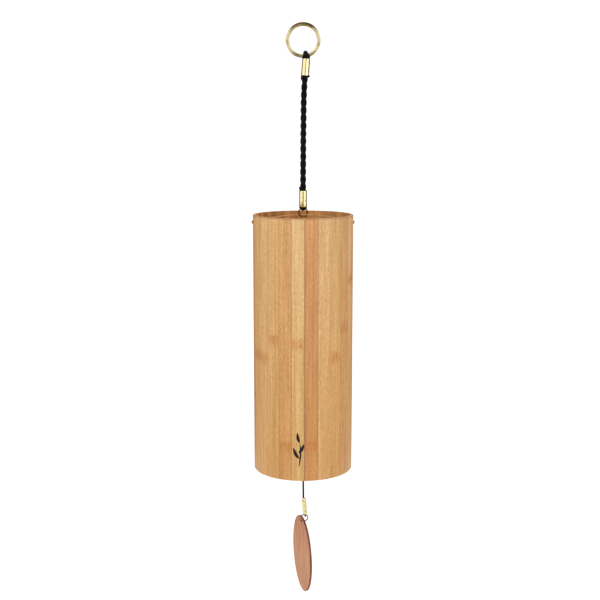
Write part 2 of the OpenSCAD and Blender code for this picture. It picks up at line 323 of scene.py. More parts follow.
def strip_tones():
    """A tone for each strip: chosen at the front, drawn at random round the back."""
    return [FRONT_TONES.get(i) or RNG.choice((GOLDEN, PALE, ORANGE, TAN, HONEY))
            for i in range(STRIPS)]


def strip_nodes():
    """The height of each strip's growth node, as a grey from 0 to 1 for the colour ramp."""
    heights = [FRONT_NODES.get(i) or RNG.uniform(0.1, 1.1) for i in range(STRIPS)]
    return [(h / NODE_SPAN,) * 3 + (1,) for h in heights]


class TubeFace:
    """Where a point is on the tube's face, as sockets for the bamboo's pattern."""

    def __init__(self, shader):
        x, y, z = shader.split(shader.place())
        self.turn = shader.math("ARCTAN2", x, shader.math("MULTIPLY", y, -1.0))
        self.share = shader.math("FRACT", shader.math("ADD", shader.math(
            "MULTIPLY", self.turn, 0.5 / math.pi), 1 - FIRST_JOINT / 360))
        strip = shader.math("MULTIPLY", self.share, STRIPS)
        self.across = shader.math("FRACT", strip)
        self.number = shader.math("FLOOR", strip)
        self.down = shader.math("MULTIPLY", shader.math("SUBTRACT", TUBE_TOP, z), 1 / TUBE_LENGTH)
        self.height = shader.math("MULTIPLY", z, 1 / MM)
        self.seed = shader.math("MULTIPLY", self.number, 7.3)


def node_zone(shader, face):
    """1 at the height of a strip's growth node, fading to 0 above and below it."""
    node_at = shader.math("MULTIPLY", shader.steps(face.share, strip_nodes()), NODE_SPAN)
    away = shader.math("ABSOLUTE", shader.math("SUBTRACT", face.down, node_at))
    return shader.span(away, 0.034, 0.004)


def swayed_arc(shader, face, zone):
    """Distance round the tube in millimetres, which wanders where the grain passes a node."""
    arc = shader.math("MULTIPLY", face.turn, TUBE_RADIUS / MM)
    low = shader.math("MULTIPLY", face.height, 0.55)
    sway = shader.noise(shader.join(arc, low, face.number), 0.5, 2.0)
    return shader.math("ADD", arc, shader.math("MULTIPLY", zone, shader.math("MULTIPLY", sway, 1.6)))


def grain(shader, face, arc, squash, scale, detail, roughness=0.55):
    """Noise drawn out along the tube, different in each strip."""
    low = shader.math("MULTIPLY", face.height, squash)
    return shader.noise(shader.join(arc, low, face.seed), scale, detail, roughness)


def tint(shader, colour, factor, low, high):
    """The colour times a tint that goes from low to high with the factor."""
    return shader.mix(1.0, colour, shader.mix(factor, (*low, 1), (*high, 1)), "MULTIPLY")


def joints_and_rim(shader, face):
    """How dark the joints between strips, the main seam and the rim are."""
    edge = shader.math("MINIMUM", face.across, shader.math("SUBTRACT", 1.0, face.across))
    joint_line = shader.math("MULTIPLY", shader.span(edge, 0.035, 0.008), 0.28)
    near_seam = shader.math("MINIMUM", face.share, shader.math("SUBTRACT", 1.0, face.share))
    seam = shader.math("MULTIPLY", shader.span(near_seam, 0.0032, 0.0008), 0.45)
    rim = shader.math("MULTIPLY", shader.span(face.down, 0.0062, 0.003), 0.4)
    return shader.math("MAXIMUM", shader.math("MAXIMUM", joint_line, seam), rim)


def bamboo(name, tones, node_tone, seam_tone):
    """Strips of bamboo edge to edge, with fine upright grain and a flecked node in each strip."""
    shader = Shader(name)
    face = TubeFace(shader)
    zone = node_zone(shader, face)
    arc = swayed_arc(shader, face, zone)
    fine = grain(shader, face, arc, 0.018, 1.7, 4.0, 0.72)
    dashes = grain(shader, face, arc, 0.2, 2.4, 3.0, 0.65)
    broad = grain(shader, face, arc, 0.012, 0.55, 2.0)
    flecks = shader.span(grain(shader, face, arc, 0.12, 1.9, 2.0), 0.53, 0.58)
    colour = shader.steps(face.share, tones)
    colour = tint(shader, colour, shader.span(fine, 0.36, 0.64), (0.84, 0.79, 0.71), (1.06, 1.06, 1.07))
    colour = tint(shader, colour, shader.span(dashes, 0.4, 0.56), (0.86, 0.8, 0.72), (1.02, 1.03, 1.04))
    colour = tint(shader, colour, shader.span(broad, 0.32, 0.68), (0.90, 0.87, 0.82), (1.05, 1.05, 1.06))
    colour = tint(shader, colour, face.down, (1.06, 1.14, 1.3), (0.96, 0.93, 0.85))
    # Each node is a warmer band with short dark flecks
    colour = shader.mix(shader.math("MULTIPLY", zone, 0.2), colour, node_tone)
    fleck = shader.math("MULTIPLY", flecks, zone)
    colour = shader.mix(shader.math("MULTIPLY", fleck, 0.7), colour, node_tone)
    shader.set("Base Color", shader.mix(joints_and_rim(shader, face), colour, seam_tone))
    shader.set("Roughness", shader.math("ADD", shader.math("MULTIPLY", fine, 0.18), 0.34))
    shader.bump(shader.math("ADD", fine, shader.math("MULTIPLY", fleck, -0.8)), 0.05 * MM, 0.55)
    shader.set("Specular IOR Level", 0.3)
    return shader.material


def plain_wood(name, light, dark, squash=(1, 1, 0.05), scale=900.0, rough=0.6):
    """Raw wood with straight grain: squash is smallest along the grain."""
    shader = Shader(name, Specular_IOR_Level=0.25)
    place = shader.stretch(shader.place(), squash)
    fine = shader.noise(place, scale, 4.0, 0.65)
    broad = shader.noise(place, scale * 0.22, 2.0)
    both = shader.math("ADD", shader.math("MULTIPLY", fine, 0.55), shader.math("MULTIPLY", broad, 0.45))
    shader.set("Base Color", shader.mix(shader.span(both, 0.36, 0.62), dark, light))
    shader.set("Roughness", shader.math("ADD", shader.math("MULTIPLY", fine, 0.2), rough - 0.1))
    shader.bump(fine, 0.06 * MM, 0.6)
    return shader.material


def sail_wood():
    """Thin reddish wood with upright grain and a scorched rim."""
    shader = Shader("sail_wood", Specular_IOR_Level=0.25)
    place = shader.place()
    middle = middle_of("wind_sail")
    radius = size_of("wind_sail").z / 2
    fine = shader.noise(shader.stretch(place, (1, 1, 0.04)), 1500.0, 4.0, 0.6)
    broad = shader.noise(shader.stretch(place, (1, 1, 0.08)), 330.0, 3.0)
    colour = shader.mix(shader.span(fine, 0.38, 0.62), srgb(158, 103, 66), srgb(194, 139, 99))
    colour = shader.mix(shader.span(broad, 0.5, 0.72), colour, srgb(160, 98, 64))
    reach = shader.add("VectorMath", {0: place, 1: middle}, "Value", operation="DISTANCE")
    ragged = shader.math("MULTIPLY", shader.noise(place, 520.0, 3.0), 1.1 * MM)
    scorch = shader.span(shader.math("ADD", reach, ragged), radius - 0.1 * MM, radius + 0.5 * MM)
    # Darker and redder round the hole.
    hole = joint_place("sail_swing")
    near = shader.add("VectorMath", {0: place, 1: hole}, "Value", operation="DISTANCE")
    darker_round_hole = shader.span(shader.math("ADD", near, ragged), 4.5 * MM, 1.6 * MM)
    colour = shader.mix(shader.math("MULTIPLY", darker_round_hole, 0.55), colour, srgb(166, 92, 66))
    shader.set("Base Color", shader.mix(scorch, colour, srgb(112, 58, 42)))
    shader.set("Roughness", shader.math("ADD", shader.math("MULTIPLY", fine, 0.2), 0.5))
    shader.bump(fine, 0.06 * MM, 0.6)
    return shader.material


def turned_steel(name):
    """Steel plate with fine turning rings about the tube's middle."""
    shader = Shader(name, Metallic=1.0)
    x, y, z = shader.split(shader.place())
    reach = shader.math("SQRT", shader.math("ADD", shader.math("MULTIPLY", x, x),
                                            shader.math("MULTIPLY", y, y)))
    rings = shader.noise(shader.join(reach, 0.0, z), 5200.0, 3.0)
    shade = shader.noise(shader.place(), 120.0, 3.0)
    shader.set("Base Color", shader.mix(shader.span(shade, 0.3, 0.7), srgb(166, 168, 171),
                                        srgb(184, 186, 189)))
    shader.set("Roughness", shader.math("ADD", shader.math("MULTIPLY", rings, 0.2), 0.24))
    shader.bump(rings, 0.02 * MM, 0.6)
    return shader.material


def clear_acrylic():
    """Clear disc with faint haze and handling marks."""
    shader = Shader("clear_acrylic", IOR=1.49, Transmission_Weight=1.0)
    place = shader.place()
    haze = shader.noise(place, 240.0, 4.0)
    shader.set("Base Color", shader.mix(shader.span(haze, 0.3, 0.7), (0.97, 0.99, 1.0, 1),
                                        (0.90, 0.95, 0.97, 1)))
    shader.set("Roughness", shader.math("MULTIPLY", shader.noise(place, 900.0, 4.0), 0.12))
    return shader.material


def dark_ink():
    """Matt brown-black ink that has sunk into the grain a little."""
    shader = Shader("dark_ink", Specular_IOR_Level=0.15)
    grain = shader.noise(shader.stretch(shader.place(), (1, 1, 0.06)), 1800.0, 3.0)
    shader.set("Base Color", shader.mix(shader.span(grain, 0.35, 0.75), srgb(20, 15, 13),
                                        srgb(52, 36, 24)))
    shader.set("Roughness", shader.math("ADD", shader.math("MULTIPLY", grain, 0.2), 0.5))
    return shader.material


def pale_floor():
    """Almost white, faintly glowing, with a very faint mottle."""
    shader = Shader("pale_floor", Roughness=0.9, Specular_IOR_Level=0.0, Emission_Strength=0.1)
    shader.set("Emission Color", (1, 1, 1, 1))
    shade = shader.noise(shader.place(), 0.6, 2.0)
    shader.set("Base Color", shader.mix(shade, (0.96, 0.96, 0.96, 1), (0.98, 0.98, 0.98, 1)))
    return shader.material


# Shapes

def smooth_route(points, step):
    """Points about step apart on a smooth curve through the given ones."""
    points = [Vector(p) for p in points]
    ends = [points[0] * 2 - points[1]] + points + [points[-1] * 2 - points[-2]]
    route = []
    for a, b, c, d in zip(ends, ends[1:], ends[2:], ends[3:]):
        parts = max(1, round((c - b).length / step))
        for i in range(parts):
            t = i / parts
            route.append(0.5 * (2 * b + (c - a) * t + (2 * a - 5 * b + 4 * c - d) * t * t
                                + (3 * b - a - 3 * c + d) * t ** 3))
    return route + [points[-1]]


def reaches(points):
    """Length along the route up to each of its points."""
    reach = [0]
    for a, b in zip(points, points[1:]):
        reach.append(reach[-1] + (b - a).length)
    return reach


def headings(points, closed=False):
    """Direction of a route at each of its points."""
    count = len(points)
    result = []
    for i in range(count):
        after = points[(i + 1) % count] if closed or i < count - 1 else points[i]
        before = points[i - 1] if closed or i else points[i]
        result.append((after - before).normalized())
    return result


def side_pairs(points, closed=False):
    """Two directions square to the route at each point, turning as little as they can."""
    ways = headings(points, closed)
    side = ways[0].orthogonal().normalized()
    pairs = []
    for way in ways:
        side = (side - way * side.dot(way)).normalized()
        pairs.append((side, way.cross(side)))
    return pairs


def bridge(bm, rings, closed=False):
    """Faces from each ring of corners to the next, and from the last to the first if closed."""
    nexts = rings[1:] + rings[:1] if closed else rings[1:]
    for here, there in zip(rings, nexts):
        for k in range(len(here)):
            n = (k + 1) % len(here)
            bm.faces.new((here[k], here[n], there[n], there[k]))


def sweep(bm, points, outline, pairs=None, closed=False):
    """A tube through the points: outline(i) gives its section there as (side, up) pairs."""
    pairs = pairs or side_pairs(points, closed)
    rings = [[bm.verts.new(p + side * a + up * b) for a, b in outline(i)]
             for i, (p, (side, up)) in enumerate(zip(points, pairs))]
    bridge(bm, rings, closed)
    if not closed:
        bm.faces.new(rings[0][::-1])
        bm.faces.new(rings[-1])


def round_tip(at, length, radius):
    """Share of the full radius at a point of a tube with rounded ends."""
    short = radius - min(at, length - at)
    return math.sqrt(max(0.03, 1 - (short / radius) ** 2)) if short > 0 else 1


def yarn(bm, points, radius, lobes=3, lay=3.2, hollow=0.16, flat=1.0, pairs=None, sides=18,
         tips=True):
    """Twisted yarn: a section of a few lobes that turns once in lay radii as it goes along."""
    reach = reaches(points)

    def outline(i):
        full = radius * (round_tip(reach[i], reach[-1], radius) if tips else 1)
        turn = 2 * math.pi * reach[i] / (lay * radius * 2)
        section = []
        for k in range(sides):
            angle = 2 * math.pi * k / sides
            lobe = abs(math.sin(lobes * (angle - turn) / 2))
            size = full * (1 - hollow * (1 - lobe))
            section.append((size * math.cos(angle), size * flat * math.sin(angle)))
        return section

    sweep(bm, points, outline, pairs)


def lathe(bm, profile, count=48, turn=None, wobble=None):
    """A solid of revolution about Z from (radius, height) pairs, moved by the matrix turn."""
    rings = []
    for radius, height in profile:
        ring = []
        for k in range(count):
            angle = 2 * math.pi * k / count
            reach = radius + (wobble(angle, height) if wobble and radius > 0 else 0)
            p = Vector((reach * math.cos(angle), reach * math.sin(angle), height))
            ring.append(bm.verts.new(turn @ p if turn else p))
        rings.append(ring)
    bridge(bm, rings, True)


def dome(bm, profile, count=32, turn=None):
    """Like lathe, but the profile runs between two points on the axis, which get a cap."""
    rings = []
    for radius, height in profile:
        ring = [Vector((radius * math.cos(2 * math.pi * k / count),
                        radius * math.sin(2 * math.pi * k / count), height)) for k in range(count)]
        rings.append([bm.verts.new(turn @ p if turn else p) for p in ring])
    bridge(bm, rings)
    bm.faces.new(rings[0])
    bm.faces.new(rings[-1])


def turned_to(place, direction):
    """Matrix that puts +Z along a direction, at a place."""
    return Matrix.Translation(place) @ direction.to_track_quat("Z", "Y").to_matrix().to_4x4()


def finish_piece(name, bm, material, body=None, replaced=(), sharp=45):
    """Makes the piece, with its material and body, and hides the nodes that it stands for."""
    bmesh.ops.recalc_face_normals(bm, faces=bm.faces)
    mesh = bpy.data.meshes.new(name)
    bm.to_mesh(mesh)
    bm.free()
    mesh.shade_smooth()
    mesh.set_sharp_from_angle(angle=math.radians(sharp))
    mesh.materials.append(material)
    piece = bpy.data.objects.new(name, mesh)
    bpy.context.scene.collection.objects.link(piece)
    if replaced:
        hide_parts(*replaced)
    if body:
        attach(piece, body)
    return piece


def dress(node, material, bevel=0.0, segments=3):
    """Gives a CAD node its material and, where wanted, softened edges."""
    piece = frame["nodes"][node]
    piece.data.materials.clear()
    piece.data.materials.append(material)
    if bevel:
        modifier = piece.modifiers.new("softened edges", "BEVEL")
        modifier.width = bevel
        modifier.segments = segments
        modifier.limit_method = "ANGLE"
        modifier.angle_limit = math.radians(35)
        modifier.harden_normals = True


# Cords and what is on them

HANG_PITCH = 9.5 * MM
STRAND_OFFSET = 0.95 * MM
STRAND_RADIUS = 0.99 * MM
STRAND_FLAT = 1.3


def hanging_cord(material):
    """Two flattened strands laid round each other, down from inside one ferrule to the other."""
    inside = 1.6 * MM
    route = [UPPER_FOOT + UPPER_LEAN * inside, UPPER_FOOT, *HANG_ROUTE, (0, 0, LOWER_TOP - inside)]
    line = smooth_route(route, 0.4 * MM)
    reach = reaches(line)
    bm = bmesh.new()
    for start in (0, math.pi):
        strand, outward = [], []
        for p, s in zip(line, reach):
            angle = start + 0.6 + 2 * math.pi * s / HANG_PITCH
            away = Vector((math.cos(angle), math.sin(angle), 0))
            outward.append(away)
            strand.append(p + away * STRAND_OFFSET)
        pairs = []
        for way, away in zip(headings(strand), outward):
            away = (away - way * away.dot(way)).normalized()
            pairs.append((away, way.cross(away)))
        yarn(bm, strand, STRAND_RADIUS, 7, -4.5, 0.07, STRAND_FLAT, pairs, 42, False)
    piece = finish_piece("hanging_cord_strands", bm, material,
                         replaced=["hanging_cord"], sharp=70)
    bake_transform(piece)
    return piece


def loop_strand(bm, corner_points, radius):
    """Cord of a loop, with rounded ends, through the points."""
    yarn(bm, smooth_route(corner_points, 0.25 * MM), radius, 3, 2.6, 0.12, 1.0, None, 20, True)


def cut_tail(bm, points, radius):
    """Short cut end of cord through the points."""
    yarn(bm, smooth_route(points, 0.2 * MM), radius, 3, 2.6, 0.14, 1.0, None, 18, True)


def upper_loop(material):
    """Three turns over the inside of the ring, spreading into the ferrule's mouth, and cut ends."""
    turn = math.radians(10.5)
    ring_inner = RING_OUTER - RING_BAND
    bend = RING_MIDDLE + Vector((math.sin(turn), 0, -math.cos(turn))) * (ring_inner + 0.4 * MM)
    up = Vector((-math.sin(turn), 0, math.cos(turn)))
    across = Vector((math.cos(turn), 0, math.sin(turn)))
    drop = (bend - UPPER_MOUTH).length
    # side, back and up from the middle of the bend, in millimetres, from the front leg's foot
    outer = [(0.85, -0.85, -drop / MM - 2.5), (1.05, -0.9, -drop / MM - 0.1), (1.5, -1.3, 0.7 - drop / MM),
             (1.3, -1.9, -0.9), (0.9, -2.05, 0), (0.55, -1.75, 0.9), (0.38, -0.9, 1.42), (0.3, 0, 1.58)]
    inner = [(0, -1.05, -drop / MM - 2.5), (0, -1.2, -drop / MM), (0, -2, -1), (0, -2.15, 0),
             (0, -1.8, 0.9), (0, -0.9, 1.45), (0, 0, 1.6)]
    bm = bmesh.new()
    for side, leg in ((-1, outer), (0, inner), (1, outer)):
        path = leg + [(a, -b, c) for a, b, c in leg[-2::-1]]
        points = [bend + across * (side * a * MM) + Vector((0, b * MM, 0)) + up * (c * MM)
                  for a, b, c in path]
        loop_strand(bm, points, 0.93 * MM)
    cut_tail(bm, [UPPER_FOOT + Vector(p) * MM for p in
                  ((1.1, -0.5, 1.2), (1.9, -0.75, -0.1), (2.5, -0.8, -1.2))], 0.85 * MM)
    cut_tail(bm, [UPPER_FOOT + Vector(p) * MM for p in
                  ((-0.9, -0.5, 1.2), (-1.6, -0.8, -0.4), (-1.9, -0.8, -2.9))], 0.95 * MM)
    return finish_piece("ring_loop_strands", bm, material, "cord_head",
                        ["upper_loop"], 70)


def lower_loop(material):
    """Two thin strands under the link ring's top, and two cut ends above the ferrule."""
    bight = Vector((0, 0, LOWER_FOOT - 0.55 * MM))
    back = Vector((-math.sin(LINK_TURN), math.cos(LINK_TURN), 0))
    across = Vector((math.cos(LINK_TURN), math.sin(LINK_TURN), 0))
    bm = bmesh.new()
    for side in (-1, 1):
        leg = [(0.85, -0.9, 3.2), (1.2, -1, 0.9), (1.6, -0.95, 0.3), (1.35, -1, -0.3),
               (0.75, -0.8, -0.85)]
        path = leg + [(0.42, 0, -1.12)] + [(a, -b, c) for a, b, c in leg[::-1]]
        points = [bight + across * (side * a * MM) + back * (b * MM) + UP * (c * MM)
                  for a, b, c in path]
        loop_strand(bm, points, 0.66 * MM)
    top = Vector((0, 0, LOWER_TOP))
    cut_tail(bm, [top + Vector(p) * MM for p in
                  ((-1.1, -0.9, -1.2), (-1.6, -1.05, 0.6), (-2.05, -1.05, 2.7))], 0.78 * MM)
    cut_tail(bm, [top + Vector(p) * MM for p in
                  ((1.1, -0.9, -1.2), (1.35, -1.1, 0), (1.6, -1.1, 0.8))], 0.82 * MM)
    return finish_piece("link_loop_strands", bm, material, "cord_foot",
                        ["lower_loop"], 70)


def ferrule(name, place, lean, body, node, material):
    """Crimped brass tube with rolled lips, a lap seam at the back and three flattened crimps."""
    r, h, wall = FERRULE_RADIUS, FERRULE_LENGTH, 0.4 * MM
    lip = 0.22 * MM
    heights = [lip * 2 + (h - 4 * lip) * i / 30 for i in range(31)]
    outside = [(r - lip, 0), (r - lip * 0.3, lip * 0.3), (r, lip)] + [(r - 0.03 * MM, z) for z in heights]
    outside += [(r, h - lip), (r - lip * 0.3, h - lip * 0.3), (r - lip, h)]
    profile = outside + [(r - wall, h), (r - wall, 0)]

    def dents(angle, z):
        depth = 0.0
        for centre in (0.25, 0.5, 0.75):
            near = math.exp(-((z / h - centre) / 0.055) ** 2)
            depth += near * 0.13 * MM * max(0, math.cos(2 * (angle - 1.1))) ** 3
        lap = math.exp(-((angle - 1.9) / 0.05) ** 2) * 0.09 * MM
        return -min(depth + lap, 0.2 * MM)

    bm = bmesh.new()
    lathe(bm, profile, 72, turned_to(place, lean), dents)
    return finish_piece(name, bm, material, body, [node], 50)


def knot(name, node, radius, body, material):
    """Overhand knot of thin cord: a closed three-lobed loop, pulled tight."""
    middle = middle_of(node)
    strand = THIN_DIAMETER / 2 * 1.05
    size = (radius - strand) / 3
    points = []
    for i in range(96):
        t = 2 * math.pi * i / 96
        points.append(middle + Vector((
            (math.sin(t) + 2 * math.sin(2 * t)) * size,
            (math.cos(t) - 2 * math.cos(2 * t)) * size,
            -math.sin(3 * t) * size * 1.6)))
    bm = bmesh.new()
    ring = [(strand * math.cos(2 * math.pi * k / 16), strand * math.sin(2 * math.pi * k / 16))
            for k in range(16)]
    sweep(bm, points, lambda i: ring, side_pairs(points, True), True)
    return finish_piece(name, bm, material, body, [node], 80)


def thin_cord(name, route, node, body, material, above, below):
    """Thin three-strand twine along a route, run on a little into the pieces at its ends."""
    route = [Vector(p) for p in route]
    line = [route[0] + UP * above, *route, route[-1] - UP * below]
    bm = bmesh.new()
    yarn(bm, smooth_route(line, 0.3 * MM), THIN_DIAMETER * 0.57, 3, 3.0, 0.14, 1.0, None, 18, False)
    return finish_piece(name, bm, material, body, [node], 80)


def sail_loop(material):
    """One strand out of the sail ferrule, round the top of the sail ring and back."""
    swing = joint_place("sail_ring_swing") - joint_place("sail_swing")
    top = joint_place("sail_ring_swing") + swing
    bm = bmesh.new()
    facing = sail_ring_across()
    back = UP.cross(facing).normalized()
    back = (back - SAIL_LEAN * back.dot(SAIL_LEAN)).normalized()
    leg = [(0.5, 3.5), (0.62, 1.2), (0.9, 0.4), (0.86, -0.45), (0.5, -0.85)]
    path = leg + [(0, -0.98)] + [(-a, b) for a, b in leg[::-1]]
    points = [top + back * (a * MM) + SAIL_LEAN * (b * MM) for a, b in path]
    loop_strand(bm, points, 0.46 * MM)
    return finish_piece("sail_loop_strand", bm, material, "sail_end",
                        ["sail_loop"], 70)


def sail_ring_across():
    """The way that the sail ring's wire runs through the sail's hole."""
    return Vector(joint("sail_swing")["axis"]).normalized()


def sail_ferrule(material):
    """Small crimped tube, tapered where it grips the thin cord."""
    r, h = SAIL_FERRULE_RADIUS, SAIL_FERRULE_LENGTH
    bore = r - 0.4 * MM
    lip = 0.14 * MM
    side = [(bore, 0), (r - lip, 0), (r, lip)] + [(r, lip + (h - 2.4 * MM) * i / 16) for i in range(1, 17)]
    top = [(r - 0.12 * MM, h - 1.6 * MM), (r - 0.36 * MM, h - 0.9 * MM), (r - 0.6 * MM, h - 0.35 * MM),
           (r - 0.85 * MM, h)]
    inside = [(0.5 * MM, h), (0.5 * MM, h - 1.2 * MM), (bore, h - 2 * MM)]

    def dents(angle, z):
        near = math.exp(-((z / h - 0.32) / 0.06) ** 2) + math.exp(-((z / h - 0.62) / 0.06) ** 2)
        return -near * 0.12 * MM * max(0, math.cos(2 * (angle - 0.4))) ** 2

    bm = bmesh.new()
    lathe(bm, side + top + inside, 48, turned_to(SAIL_FOOT, SAIL_LEAN), dents)
    return finish_piece("sail_crimp", bm, material, "sail_end",
                        ["sail_ferrule"], 50)


# Rings

def split_ring(material):
    """Flat wire wound twice, with one step from the front coil to the back one between its ends."""
    step_at = math.radians(43)
    half_step = math.radians(13)
    layer = RING_THICK / 4 - 0.03 * MM
    middle_radius = RING_OUTER - RING_BAND / 2
    start = half_step * 1.12
    count = 240
    points, pairs = [], []
    for i in range(count + 1):
        turned = start + (4 * math.pi - 2 * start) * i / count
        through = (turned - 2 * math.pi + half_step) / (2 * half_step)
        through = min(1, max(0, through))
        shift = (through * through * (3 - 2 * through) * 2 - 1) * (layer + 0.03 * MM)
        angle = step_at - turned
        away = Vector((math.cos(angle), 0, math.sin(angle)))
        points.append(RING_MIDDLE + away * middle_radius + Vector((0, shift, 0)))
        pairs.append((away, Vector((0, 1, 0))))
    wide, ease = RING_BAND / 2, 0.44 * MM
    corner = [(1, 0), (0.92, 0.38), (0.71, 0.71), (0.38, 0.92), (0, 1)]
    section = []
    for a, b in ((1, 1), (-1, 1), (-1, -1), (1, -1)):
        bend = corner if a * b > 0 else corner[::-1]
        section += [(a * (wide - ease + ease * x), b * (layer - ease + ease * y)) for x, y in bend]
    bm = bmesh.new()
    sweep(bm, points, lambda i: section, pairs)
    return finish_piece("split_ring", bm, material, "ring", ["hanging_ring"], 50)


def jump_ring(name, middle, axis, radius, body, node, material, gap_at, gap=3.0):
    """Round wire ring, cut once, with its ends almost touching."""
    axis = axis.normalized()
    side = axis.orthogonal().normalized()
    up = axis.cross(side)
    gap = math.radians(gap)
    points = []
    for i in range(97):
        angle = gap_at + gap / 2 + (2 * math.pi - gap) * i / 96
        points.append(middle + (side * math.cos(angle) + up * math.sin(angle)) * radius)
    ring = [(WIRE_RADIUS * math.cos(2 * math.pi * k / 20), WIRE_RADIUS * math.sin(2 * math.pi * k / 20))
            for k in range(20)]
    bm = bmesh.new()
    sweep(bm, points, lambda i: ring)
    return finish_piece(name, bm, material, body, [node], 50)


# Tube

def strip_joint_angles():
    """Every angle round the tube that needs a column of corners, with its groove depth."""
    columns = {}
    for i in range(STRIPS):
        joint = math.radians(FIRST_JOINT + i * 360 / STRIPS)
        depth = 0.16 * MM if i == 0 else 0.045 * MM
        for offset, share in ((-0.16, 0), (-0.05, 0.6), (0, 1), (0.05, 0.6), (0.16, 0)):
            columns[joint + offset * MM / TUBE_RADIUS] = depth * share
        for k in range(1, 6):
            columns[joint + math.radians(360 / STRIPS) * k / 6] = 0.0
    return sorted(columns.items())


def outer_veneer(material):
    """Outer ply of bamboo strips, with shallow joints between them and eased rims."""
    ease = 0.3 * MM
    rows = [(CORE_RADIUS, TUBE_TOP), (TUBE_RADIUS - ease, TUBE_TOP)]
    for degrees in (30, 60, 90):
        a = math.radians(degrees)
        rows.append((TUBE_RADIUS - ease + ease * math.sin(a), TUBE_TOP - ease + ease * math.cos(a)))
    bottom = [(r, TUBE_TOP + TUBE_FOOT - z) for r, z in rows[::-1]]
    long_rows = [(TUBE_RADIUS, TUBE_TOP - ease - (TUBE_LENGTH - 2 * ease) * k / 12) for k in range(1, 12)]
    rows = rows + long_rows + bottom
    columns = strip_joint_angles()
    bm = bmesh.new()
    grid = []
    for radius, z in rows:
        line = []
        for angle, depth in columns:
            reach = radius - (depth if radius > CORE_RADIUS else 0)
            line.append(bm.verts.new((reach * math.sin(angle), -reach * math.cos(angle), z)))
        grid.append(line)
    bridge(bm, grid, True)
    return finish_piece("bamboo_strips", bm, material, "chime",
                        ["tube_outer_veneer"], 60)


def on_tube(across, height, proud):
    """A point on the tube's face: across and height from the sprig's foot, in millimetres."""
    angle = math.radians(-5) + across * MM / TUBE_RADIUS
    reach = TUBE_RADIUS + proud
    return Vector((reach * math.sin(angle), -reach * math.cos(angle),
                   TUBE_FOOT + (9 + height) * MM))


def ink_stroke(bm, start, end, width, bow):
    """One brush stroke on the tube: a thin closed blade between two points, bowed sideways."""
    count = 14
    a, b = Vector(start), Vector(end)
    way = (b - a).normalized()
    square = Vector((-way.y, way.x))
    rows = []
    for i in range(count + 1):
        t = i / count
        middle = a + (b - a) * t + square * (bow * math.sin(math.pi * t))
        half = width / 2 * (0.06 + math.sin(math.pi * min(1, t * 1.02)) ** 0.75 * (1.25 - 0.5 * t))
        left, right = middle + square * half, middle - square * half
        rows.append([bm.verts.new(on_tube(p.x, p.y, high)) for p, high in
                     ((left, -0.02 * MM), (left, 0.03 * MM), (middle, 0.05 * MM), (right, 0.03 * MM),
                      (right, -0.02 * MM))])
    bridge(bm, rows)
    bm.faces.new(rows[0])
    bm.faces.new(rows[-1])


def painted_sprig(material):
    """Plain painted bamboo sprig: a stem with three leaves, low on the front."""
    bm = bmesh.new()
    ink_stroke(bm, (0, 0), (0.6, 17), 0.95, -0.8)
    ink_stroke(bm, (0.1, 5.6), (-3.4, 12.8), 2, 0.5)
    ink_stroke(bm, (0.1, 9), (3.3, 15.4), 1.9, -0.45)
    ink_stroke(bm, (0.5, 15.8), (-0.8, 22.6), 1.8, 0.4)
    return finish_piece("painted_sprig", bm, material, "chime", (), 60)


def wire_beads(material):
    """Flattened heads of the cross wire, outside the tube."""
    low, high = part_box("wire_end_beads")
    radius = (high.z - low.z) / 2
    bm = bmesh.new()
    for side in (-1, 1):
        place = Vector((side * (TUBE_RADIUS + 0.02 * MM), 0, (low.z + high.z) / 2))
        tall = (high.x - TUBE_RADIUS) - 0.03 * MM
        profile = [(radius * 0.2, 0), (radius * 0.9, 0), (radius, tall * 0.2), (radius * 0.97, tall * 0.45),
                   (radius * 0.8, tall * 0.75), (radius * 0.5, tall * 0.93), (radius * 0.12, tall)]
        dome(bm, profile, 28, turned_to(place, Vector((side, 0, 0))))
    return finish_piece("wire_heads", bm, material, "chime", ["wire_end_beads"], 60)


def solder(material):
    """A ring of solder round the root of each rod, dished and a little uneven."""
    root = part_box("chime_plate")[0].z
    bm = bmesh.new()
    for i in range(1, RODS + 1):
        middle = middle_of(f"chime_rod_{i}")
        rod = size_of(f"chime_rod_{i}").x / 2
        wide, tall = 1.2 * MM, 1.2 * MM
        phase = RNG.uniform(0, 6)
        profile = [(rod - 0.05 * MM, 0), (rod + wide, 0)]
        for k in range(1, 8):
            t = k / 8
            profile.append((rod + wide * (1 - t) ** 2.0, -tall * t ** 1.6))
        profile.append((rod - 0.05 * MM, -tall))

        def uneven(angle, height, phase=phase):
            return 0.07 * MM * math.sin(3 * angle + phase) * min(1, 1 + height / tall)

        place = Matrix.Translation((middle.x, middle.y, root))
        lathe(bm, profile, 32, place, uneven)
    return finish_piece("solder_rings", bm, material, "chime",
                        ["solder_fillets"], 60)


# Stage

def stage_object(name, bm, material):
    """A new object with this mesh and material, not part of the chime."""
    mesh = bpy.data.meshes.new(name)
    bm.to_mesh(mesh)
    bm.free()
    mesh.materials.append(material)
    thing = bpy.data.objects.new(name, mesh)
    bpy.context.scene.collection.objects.link(thing)
    return thing


def make_floor():
    """Pale round floor that curves up far away."""
    profile = [(0.001, -1.0), (7.0, -1.0), (8.0, -0.85), (8.8, -0.4), (9.2, 0.4), (9.3, 3.0)]
    count = 64
    bm = bmesh.new()
    rings = [[bm.verts.new((r * math.cos(2 * math.pi * k / count), r * math.sin(2 * math.pi * k / count), z))
              for k in range(count)] for r, z in profile]
    bridge(bm, rings)
    floor = stage_object("floor", bm, pale_floor())
    floor.data.shade_smooth()


def make_world():
    """Even white light from all round."""
    world = bpy.data.worlds.new("soft light")
    world.use_nodes = True
    background = world.node_tree.nodes["Background"]
    background.inputs["Color"].default_value = (1, 1, 1, 1)
    background.inputs["Strength"].default_value = 1.0
    bpy.context.scene.world = world


